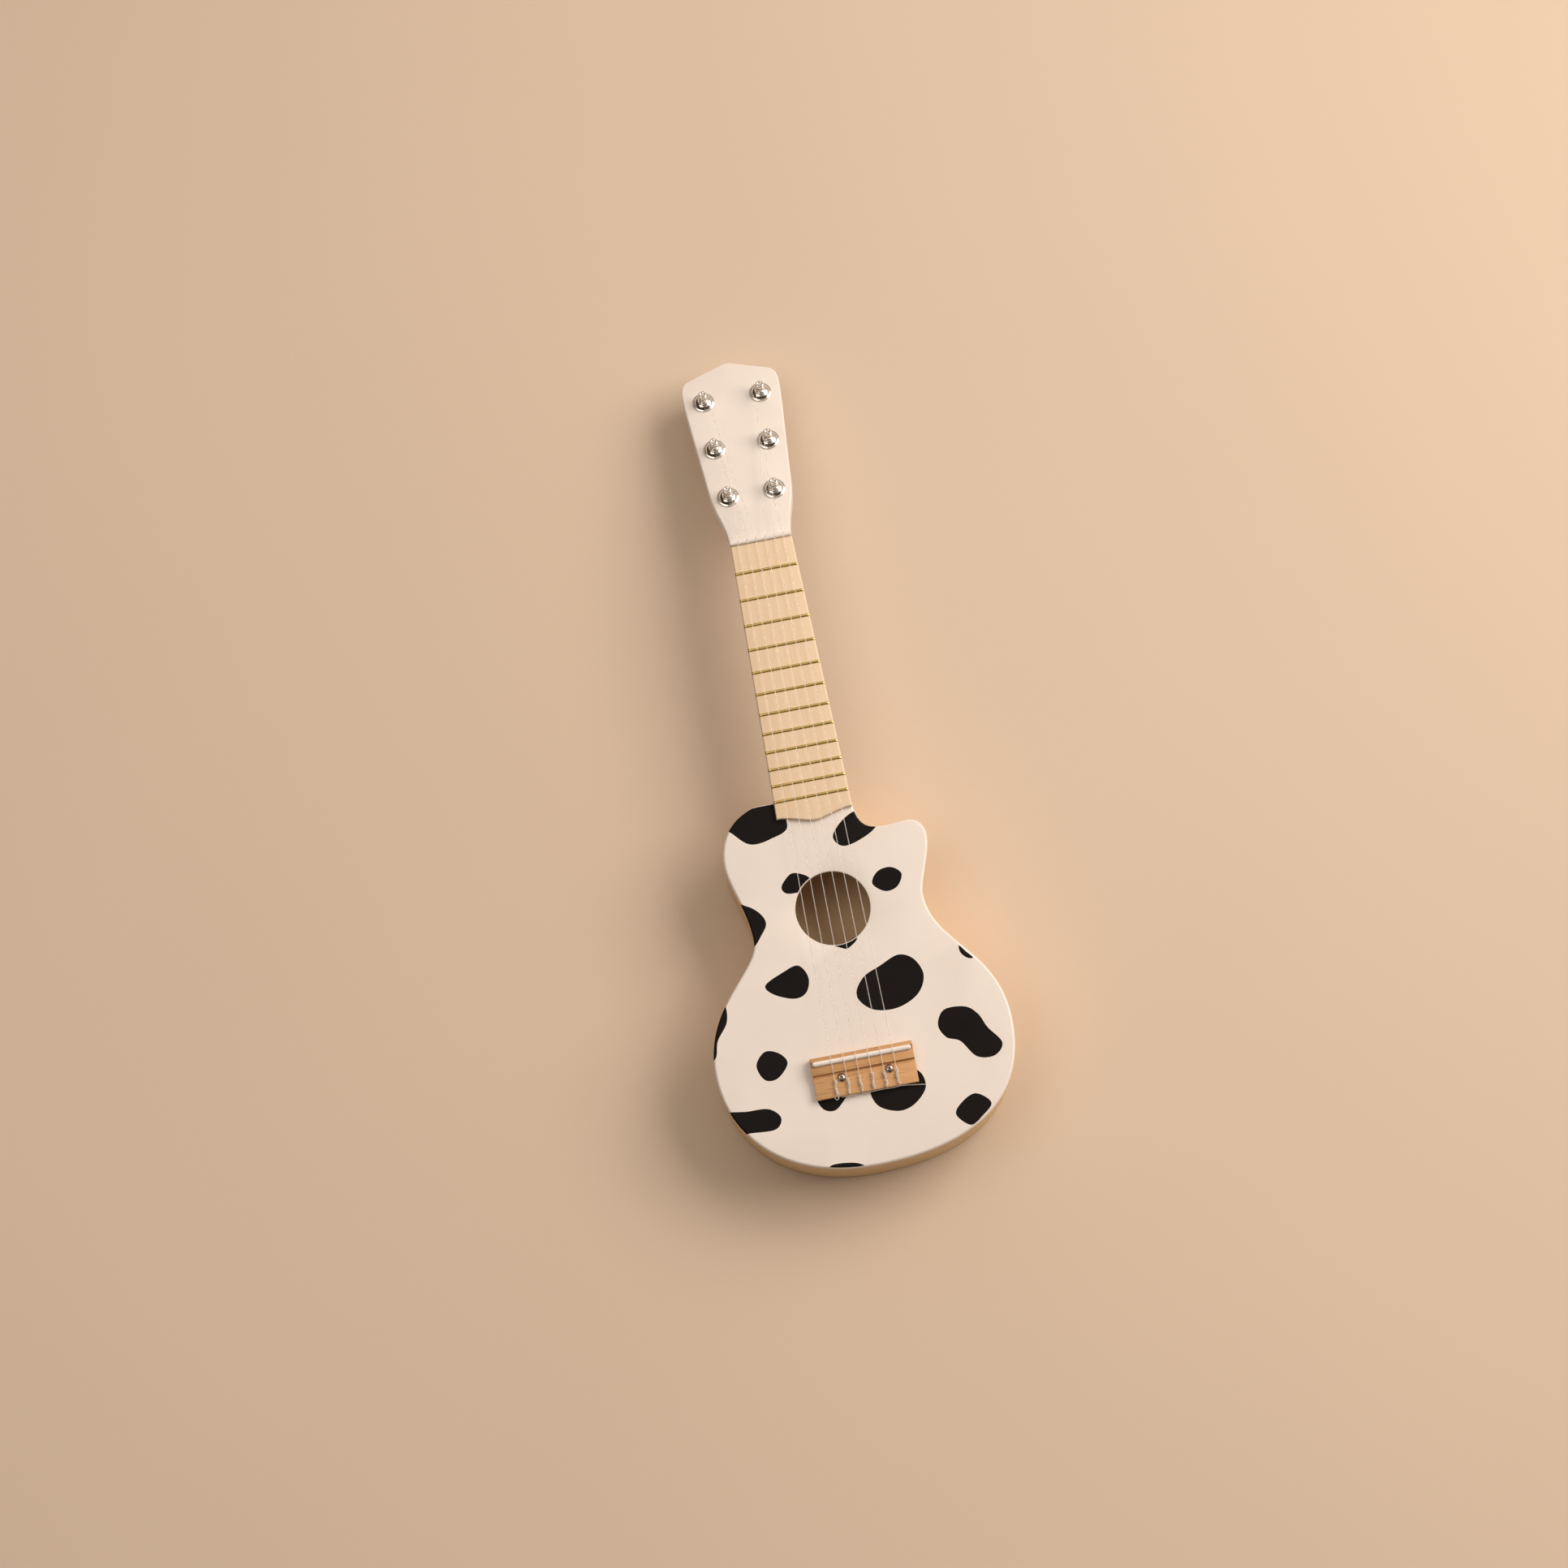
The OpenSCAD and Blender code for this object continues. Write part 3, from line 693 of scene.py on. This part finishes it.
def neck_ring(y):
    """A D-shaped section that squares up and leans back as it comes to the head."""
    t = (y - JOINT_Y) / (HEAD_Y - JOINT_Y)
    k = max(0.0, (y - HEAD_Y) / NECK_BLEND + 1)
    k = k * k * (3 - 2 * k)
    half = NECK_HALF[0] + (NECK_HALF[1] - NECK_HALF[0]) * t
    depth = NECK_DEPTH[0] + (NECK_DEPTH[1] - NECK_DEPTH[0]) * t
    depth += (HEAD_T * math.cos(HEAD_TILT) - depth) * k
    power = 1 - 0.68 * k
    ring = [(half, 0), (-half, 0)]
    for i in range(37):
        a = math.pi * i / 36
        c = math.copysign(abs(math.cos(a)) ** power, -math.cos(a))
        ring.append((half * c, -NECK_SIDE - (depth - NECK_SIDE) * math.sin(a) ** power))
    return [Vector((x, y + k * z * math.tan(HEAD_TILT), FACE_Z + z)) for x, z in ring]


def heel_ring(z, d):
    """A half oval against the body, hollowing out towards the neck; d is how far it is drawn in."""
    t = (z - HEEL_Z[0]) / (HEEL_Z[1] - HEEL_Z[0])
    half = HEEL_HALF[0] + (HEEL_HALF[1] - HEEL_HALF[0]) * t - d
    length = HEEL_LEN[0] + (HEEL_LEN[1] - HEEL_LEN[0]) * t ** 2.2 - d
    return [Vector((half * math.cos(a), JOINT_Y + length * math.sin(a), z))
            for a in (math.pi * i / 40 for i in range(41))]


def head_outline():
    """The head's whole outline, from the nut round the tip and back."""
    right = [Vector(bezier(c, i / 16)) for c in HEAD_CURVE for i in range(16)]
    tip = [Vector(HEAD_CURVE[-1][-1])]
    return right + tip + [Vector((-p.x, p.y)) for p in reversed(right)]


def build_head(bm):
    """The head's plate: its rim rounded on both faces, square where it grows out of the neck."""
    start = len(bm.verts)
    plate(bm, head_outline(), 0, -HEAD_T)
    rim = [e for e in bm.edges if max(v.co.y for v in e.verts) > 0.01
           and abs(e.verts[0].co.z - e.verts[1].co.z) < 0.01 and e.is_manifold]
    round_off(bm, rim, HEAD_R, 4)
    bm.verts.ensure_lookup_table()
    place = Matrix.Translation((0, HEAD_Y, FACE_Z)) @ HEAD_TURN
    bmesh.ops.transform(bm, matrix=place, verts=bm.verts[start:])


PEG_BORE = [(0, -HEAD_T - 2), (3.4, -HEAD_T - 2), (3.4, -5), (4.53, -5), (4.53, 2), (0, 2)]


def build_neck(mats):
    """Shaft, heel, tenon and head in one piece of wood, bored for the pegs."""
    bm = bmesh.new()
    build_head(bm)
    foot = HEAD_Y - NECK_BLEND
    loft(bm, [neck_ring(y) for y in [JOINT_Y + (foot - JOINT_Y) * i / 8 for i in range(9)]
              + [foot + (HEAD_Y + 0.15 - foot) * i / 14 for i in range(1, 15)]])
    low = [(HEEL_Z[0] + HEEL_R * (1 - math.cos(a)), HEEL_R * (1 - math.sin(a)))
           for a in (math.radians(18 * i) for i in range(5))]
    high = [(HEEL_Z[0] + HEEL_R + (HEEL_Z[1] - HEEL_Z[0] - HEEL_R) * i / 16, 0) for i in range(17)]
    loft(bm, [heel_ring(z, d) for z, d in low + high])
    block(bm, (-TENON_HALF, JOINT_Y - TENON_LEN, TENON_Z[0]), (TENON_HALF, JOINT_Y + 2, TENON_Z[1]))
    o = finish_mesh("neck_eased", bm, [mats["white"]])
    tool = bmesh.new()
    for n in PEGS:
        lathe(tool, PEG_BORE, 48, peg_at(n, 0))
    cut_away(o, tool)
    stand_for(o, "guitar", "body_paint", "neck")


def fret_y(n):
    """Where fret n lies, by the equal-tempered rule."""
    return NUT_Y - SCALE_LEN * (1 - 2 ** (-n / 12))


def board_half(y):
    """Half of the fretboard's width at y."""
    return BOARD_HALF_NUT + (BOARD_HALF_END - BOARD_HALF_NUT) * (NUT_Y - y) / (NUT_Y - BOARD_END_Y)


def build_fretboard(mats):
    """The fretboard: it widens to the body and ends in a soft point."""
    flank = ((BOARD_HALF_END, BOARD_END_Y), (16, BOARD_END_Y + 0.4), (6, BOARD_TIP_Y), (0, BOARD_TIP_Y))
    right = [Vector(bezier(flank, i / 24)) for i in range(25)]
    left = [Vector((-p.x, p.y)) for p in reversed(right[:-1])]
    outline = [Vector((-BOARD_HALF_NUT, NUT_Y)), Vector((BOARD_HALF_NUT, NUT_Y))] + right + left
    bm = bmesh.new()
    plate(bm, outline, FACE_Z + CONTACT, BOARD_T - CONTACT)
    bmesh.ops.recalc_face_normals(bm, faces=bm.faces)
    rim = [e for e in bm.edges if all(v.co.z > FACE_Z + 1 for v in e.verts)]
    round_off(bm, rim, 0.9, 5)
    o = finish_mesh("fretboard_eased", bm, [mats["board"]])
    stand_for(o, "guitar", "board_wood", "fretboard")


def build_frets(mats):
    """Fret wire: a low crown with filed, rounded ends."""
    foot = FACE_Z + BOARD_T + 2 * CONTACT
    filed = ((1, 0.25), (0.985, 0.7), (0.96, 0.93), (0.9, 1))
    crown = [(-x, k) for x, k in filed] + list(reversed(filed))
    angles = [math.pi * i / 10 for i in range(11)]
    for n in range(1, FRETS + 1):
        y = fret_y(n)
        half = board_half(y)
        bm = bmesh.new()
        loft(bm, [[(x * half, y + FRET_HALF * math.cos(a), foot + FRET_H * k * math.sin(a))
                   for a in angles] for x, k in crown])
        o = finish_mesh(f"fret_wire_{n}", bm, [mats["brass"]])
        stand_for(o, "guitar", "fret_brass", f"fret_{n}")


def build_nut(mats):
    """The nut: a low bar with both its top edges rounded and a slot for each string."""
    bm = bmesh.new()
    section = ([(NUT_Y, 0.0)] + arc(NUT_Y + 1.3, 3.65, 1.3, 180, 90, 8)
               + arc(NUT_Y + 2.0, 3.95, 1.0, 90, 0, 6) + [(NUT_Y + NUT_T, 0.0)])
    rim = prism(bm, section, -BOARD_HALF_NUT, BOARD_HALF_NUT)
    round_off(bm, rim, 0.35, 3)
    o = finish_mesh("nut_filed", bm, [mats["plastic"]])
    tool = bmesh.new()
    for n in PEGS:
        lathe(tool, [(0, -1), (0.36, -1), (0.36, 4), (0, 4)], 16,
              Vector((nut_x(n), NUT_Y, FACE_Z + STRING_NUT_Z)), ALONG_Y)
    cut_away(o, tool)
    stand_for(o, "guitar", "white_plastic", "nut")


# ---- bridge ----

BRIDGE_X = -0.4
BRIDGE_HALF = 31.65
BRIDGE_BACK_Y = -116.6
BORE_Z = 1.9
SCREWS = ((-14.8, -105.5), (14.8, -105.5))
RECESS = ((1.3, 0.38), (0.38, 1.3))


def bridge_profile():
    """The bridge seen from its end: ridge, rod slot, the groove at the ridge's foot and the shelf."""
    slot = arc(SADDLE_Y, 6.2, 1.65, -14, -166, 12)
    top = arc(-91.5, 5.3, 0.5, 0, 90, 4) + slot + arc(-101.4, 5.4, 0.4, 90, 180, 4)
    groove = [(-101.8, 3.9), (-101.95, 3.5), (-102.3, 3.3), (-102.7, 3.5), (-102.85, 3.9)]
    shelf = [(-103.0, 4.0)] + arc(-116.1, 3.5, 0.5, 90, 180, 4)
    return [(-91, 0.0)] + top + groove + shelf + [(BRIDGE_BACK_Y, 0.0)]


def build_bridge(mats):
    """The bridge, with a bore for each string in at its back."""
    bm = bmesh.new()
    rim = prism(bm, bridge_profile(), BRIDGE_X - BRIDGE_HALF, BRIDGE_X + BRIDGE_HALF)
    round_off(bm, rim, 0.3, 2)
    o = finish_mesh("bridge_milled", bm, [mats["bridge"]])
    tool = bmesh.new()
    for n in PEGS:
        lathe(tool, [(0, -1), (0.7, -1), (0.7, 10), (0, 10)], 20,
              Vector((saddle_x(n), BRIDGE_BACK_Y, FACE_Z + BORE_Z)), ALONG_Y)
    cut_away(o, tool)
    stand_for(o, "guitar", "bridge_wood", "bridge")


def build_bridge_screws(mats):
    """Pan-head screws with a cross recess."""
    head = ([(0, -5), (1.5, -5), (1.5, 4.0), (2.65, 4.0), (2.78, 4.15)]
            + arc(0.6, 3.2, 2.35, 24, 88, 8) + [(0, 5.6)])
    screws = bmesh.new()
    tool = bmesh.new()
    for i, (x, y) in enumerate(SCREWS):
        lathe(screws, head, 40, Vector((x, y, FACE_Z)), Matrix.Identity(4))
        spin = Matrix.Rotation(math.radians(25 + 40 * i), 4, "Z")
        for a, b in RECESS:
            k = len(tool.verts)
            block(tool, (-a, -b, FACE_Z + 2.8), (a, b, FACE_Z + 6.5))
            tool.verts.ensure_lookup_table()
            bmesh.ops.transform(tool, matrix=Matrix.Translation((x, y, 0)) @ spin, verts=tool.verts[k:])
    o = finish_mesh("bridge_screws_cut", screws, [mats["steel"]])
    cut_away(o, tool)
    stand_for(o, "guitar", "screw_metal", "bridge_screws")


# ---- tuning pegs ----

FERRULE = ([(3.05, -4.9), (4.4, -4.9), (4.4, -0.1), (6.9, -0.02)] + arc(6.8, 0.4, 0.4, -60, 90, 6)
           + [(6.3, 0.85), (6.15, 0.95)] + arc(2.6, -0.6, 3.72, 26, 68, 8)
           + [(3.7, 3.1)] + arc(3.45, 3.05, 0.3, 20, 90, 4) + [(3.05, 3.3), (3.05, -4.9)])
POST = ([(0, -23.7), (2.15, -23.7), (2.15, -13.5), (2.95, -13.5), (2.95, 4.0), (2.8, 4.2),
         (2.15, 4.4), (2.0, 4.6), (2.0, 7.4), (2.15, 7.7)] + arc(2.35, 8.2, 0.4, -60, 0, 4)
        + arc(2.05, 9.7, 0.7, 0, 80, 8) + [(1.4, 10.35), (1.1, 10.1), (0.9, 9.6), (0, 9.5)])
WASHER = [(3.05, -13.15), (5.1, -13.15), (5.4, -12.95), (5.4, -12.05), (3.05, -12.05), (3.05, -13.15)]


def build_bushings(mats):
    """The ferrules on the head's face and the washers on its back."""
    for name, node, profile, segments, angle in (
            ("ferrules_turned", "tuner_ferrules", FERRULE, 64, 50),
            ("washers_turned", "tuner_washers", WASHER, 48, 40)):
        bm = bmesh.new()
        for n in PEGS:
            lathe(bm, profile, segments, peg_at(n, 0))
        stand_for(finish_mesh(name, bm, [mats["chrome"]], angle), "guitar", "chrome", node)


def build_posts(mats):
    """The posts, each on its own peg's body."""
    for n in PEGS:
        bm = bmesh.new()
        lathe(bm, POST, 48, peg_at(n, 0))
        o = finish_mesh(f"post_turned_{n}", bm, [mats["chrome"]], 50)
        stand_for(o, f"peg_{n}", "chrome", f"peg_post_{n}")


# ---- strings ----


def wound_path(n):
    """The turns round the post, from the lowest to the one that the string leaves."""
    side = peg_side(n)
    x, s = side * POST_X[peg_row(n)], POST_S[peg_row(n)]
    angles = [TURN * WIND_TURNS * (1 - i / 96) for i in range(97)]
    return [on_head(x - side * WIND_R * math.cos(a), s + WIND_R * math.sin(a),
                    WIND_H - WIND_PITCH * a / TURN) for a in angles]


def string_path(n):
    """From the post over the nut and the saddle, down behind the bridge and into its bore."""
    nut = Vector((nut_x(n), NUT_Y + NUT_T / 2, FACE_Z + STRING_NUT_Z))
    tie = [(SADDLE_Y, SADDLE_Z), (-106.5, 5.0), (-115.6, 5.0), (-116.4, 4.7), (-116.95, 4.1),
           (-117.15, 3.1), (-116.95, 2.2), (-116.4, BORE_Z), (-110, BORE_Z)]
    return [wound_path(n)[-1], nut] + [Vector((saddle_x(n), y, FACE_Z + z)) for y, z in tie]


def twist_path(n, phase):
    """The loose end, wound unevenly round the string on the bridge's shelf."""
    out = []
    for i in range(161):
        t = i / 160
        a = TURN * (4.2 * t + 0.35 * math.sin(9 * t + 2 * n))
        r = 0.72 + 0.28 * math.sin(2.3 * a + 1.7 * n + phase)
        drift = 0.3 * math.sin(5 * t + 2.4 * n)
        out.append(Vector((saddle_x(n) + drift + r * math.cos(a + phase), -106.2 - 9.6 * t,
                           FACE_Z + 5.05 + 0.62 * math.sin(a + phase))))
    return out


def loose_ends(n):
    """The cut ends left showing behind the bridge on the outer strings."""
    if n == 1:
        return [[(-17, -116.95, 2.6), (-11, -117.2, 3.1), (-5, -116.95, 2.4), (2, -117.2, 3.0),
                 (9, -116.95, 2.5), (15, -117.2, 3.0), (20, -117.0, 3.2), (27, -117.6, 2.0),
                 (35.5, -118.7, 0.6)]]
    if n == 6:
        centre = Vector((saddle_x(6) - 0.7, -117.0, 4.2))
        return [[centre + 1.2 * Vector((math.cos(a), math.sin(a), 0.5 * math.sin(a) + 0.2 * a / TURN))
                 for a in (TURN * (0.2 + 1.15 * i / 14) for i in range(15))]]
    return []


def build_strings(mats):
    """Each string in one piece: the turns on its post, its run, its twisted tail and any loose end."""
    for n in PEGS:
        bm = bmesh.new()
        tube(bm, wound_path(n), STRING_R, 10, 1)
        tube(bm, string_path(n), STRING_R)
        for phase in (0, math.pi):
            tube(bm, twist_path(n, phase), STRING_R, 8, 1)
        for end in loose_ends(n):
            tube(bm, spline([Vector(p) + Vector((0, 0, FACE_Z)) for p in end], 6), STRING_R)
        o = finish_mesh(f"string_drawn_{n}", bm, [mats["nylon"], mats["coil"]], 80)
        stand_for(o, "guitar", "string_nylon", f"string_{n}")


# ---- the CAD nodes that stay ----

# what the names of the nodes start with, and their material
KEPT = {
    "saddle_rod": "plastic", "peg_button": "plastic", "peg_screw": "steel", "lining": "inner",
    "brace": "inner", "neck_block": "inner", "end_block": "inner", "bridge_patch": "inner",
}


def dress_kept(mats):
    """Gives the CAD meshes that show their materials and eased edges."""
    for name, o in NODES.items():
        if o.hide_render:
            continue
        key = next(k for start, k in KEPT.items() if name.startswith(start))
        for s in o.material_slots:
            s.link = "OBJECT"
            s.material = mats[key]
        ease_edges(o, 0.3 * MM)


def ease_edges(o, width):
    """Rounds an object's sharp edges by a modifier, so its mesh stays as it is."""
    bevel = o.modifiers.new("ease", "BEVEL")
    bevel.width = width
    bevel.segments = 3
    bevel.limit_method = "ANGLE"
    bevel.angle_limit = math.radians(40)
    bevel.use_clamp_overlap = True


# ---- studio, in metres ----

FLOOR_HALF = 6
FLOOR_COLOR = (0.72, 0.59, 0.46)
FLOOR_SHADE = (0.695, 0.565, 0.435)
WARM = (1.0, 0.87, 0.77)
PALE = (1.0, 0.90, 0.82)
DIM = (0.10, 0.075, 0.055)
WORLD_STRENGTH = 0.5
BRIGHT_SIDE = (0.42, 0.52, 0.74)
LIT_POINT = (0, 0.05, 0.03)
SENSOR = 36
LENS = 64.3
CAMERA_PLACE = (-0.0447, -0.3506, 1.7521)
CAMERA_TURN = (14.24, 1.716, -10.627)


def build_stage():
    """The plain pale floor, under the guitar's back."""
    me = bpy.data.meshes.new("floor")
    corners = [(x * FLOOR_HALF, y * FLOOR_HALF, 0) for x, y in ((-1, -1), (1, -1), (1, 1), (-1, 1))]
    me.from_pydata(corners, [], [(0, 1, 2, 3)])
    floor = bpy.data.objects.new("floor", me)
    bpy.context.collection.objects.link(floor)
    s = Shader("floor_paper", FLOOR_COLOR, 0.9)
    mottle = s.noise(s.coords((3, 3, 3)), 1, 3)
    s.link(s.mix(mottle, FLOOR_COLOR, FLOOR_SHADE), s.main.inputs["Base Color"])
    me.materials.append(s.mat)


def area_light(name, place, size, power, color):
    """A soft box that faces the guitar; size in metres, power in watts."""
    data = bpy.data.lights.new(name, "AREA")
    data.shape = "RECTANGLE"
    data.size = size
    data.size_y = 0.7 * size
    data.energy = power
    data.color = color
    o = bpy.data.objects.new(name, data)
    o.location = place
    o.rotation_mode = "QUATERNION"
    o.rotation_quaternion = (Vector(LIT_POINT) - Vector(place)).to_track_quat("-Z", "Y")
    bpy.context.collection.objects.link(o)


def build_light():
    area_light("key", (1.90, 0.68, 1.75), 2.2, 58, WARM)
    area_light("fill", (-1.0, 0.3, 2.2), 2.0, 14, WARM)
    area_light("window", (1.8, 0.1, 0.62), 1.3, 3, PALE)
    area_light("ceiling", (0.2, 1.5, 1.9), 1.5, 1.5, PALE)
    build_world()


def build_world():
    """A soft room: bright overhead and towards the key light's side, dim low down on the other."""
    world = bpy.data.worlds.new("studio")
    world.use_nodes = True
    tree = world.node_tree
    where = tree.nodes.new("ShaderNodeTexCoord")
    lean = tree.nodes.new("ShaderNodeVectorMath")
    lean.operation = "DOT_PRODUCT"
    lean.inputs[1].default_value = BRIGHT_SIDE
    ramp = tree.nodes.new("ShaderNodeValToRGB")
    ramp.color_ramp.elements[0].position = 0.25
    ramp.color_ramp.elements[0].color = (*DIM, 1)
    ramp.color_ramp.elements[1].position = 0.85
    ramp.color_ramp.elements[1].color = (*WARM, 1)
    tree.links.new(where.outputs["Generated"], lean.inputs[0])
    tree.links.new(lean.outputs["Value"], ramp.inputs["Fac"])
    tree.links.new(ramp.outputs["Color"], tree.nodes["Background"].inputs["Color"])
    tree.nodes["Background"].inputs["Strength"].default_value = WORLD_STRENGTH
    bpy.context.scene.world = world
    bpy.context.scene.view_settings.view_transform = "Standard"


def build_camera():
    data = bpy.data.cameras.new("camera")
    data.sensor_width = SENSOR
    data.lens = LENS
    cam = bpy.data.objects.new("camera", data)
    cam.location = CAMERA_PLACE
    cam.rotation_euler = [math.radians(a) for a in CAMERA_TURN]
    bpy.context.collection.objects.link(cam)
    bpy.context.scene.camera = cam


def main():
    mats = make_materials()
    build_camera()
    build_stage()
    build_light()
    build_soundboard(mats)
    build_back(mats)
    build_ribs(mats)
    build_neck(mats)
    build_fretboard(mats)
    build_frets(mats)
    build_nut(mats)
    build_bridge(mats)
    build_bridge_screws(mats)
    build_bushings(mats)
    build_posts(mats)
    build_strings(mats)
    dress_kept(mats)


main()
bpy.context.view_layer.update()
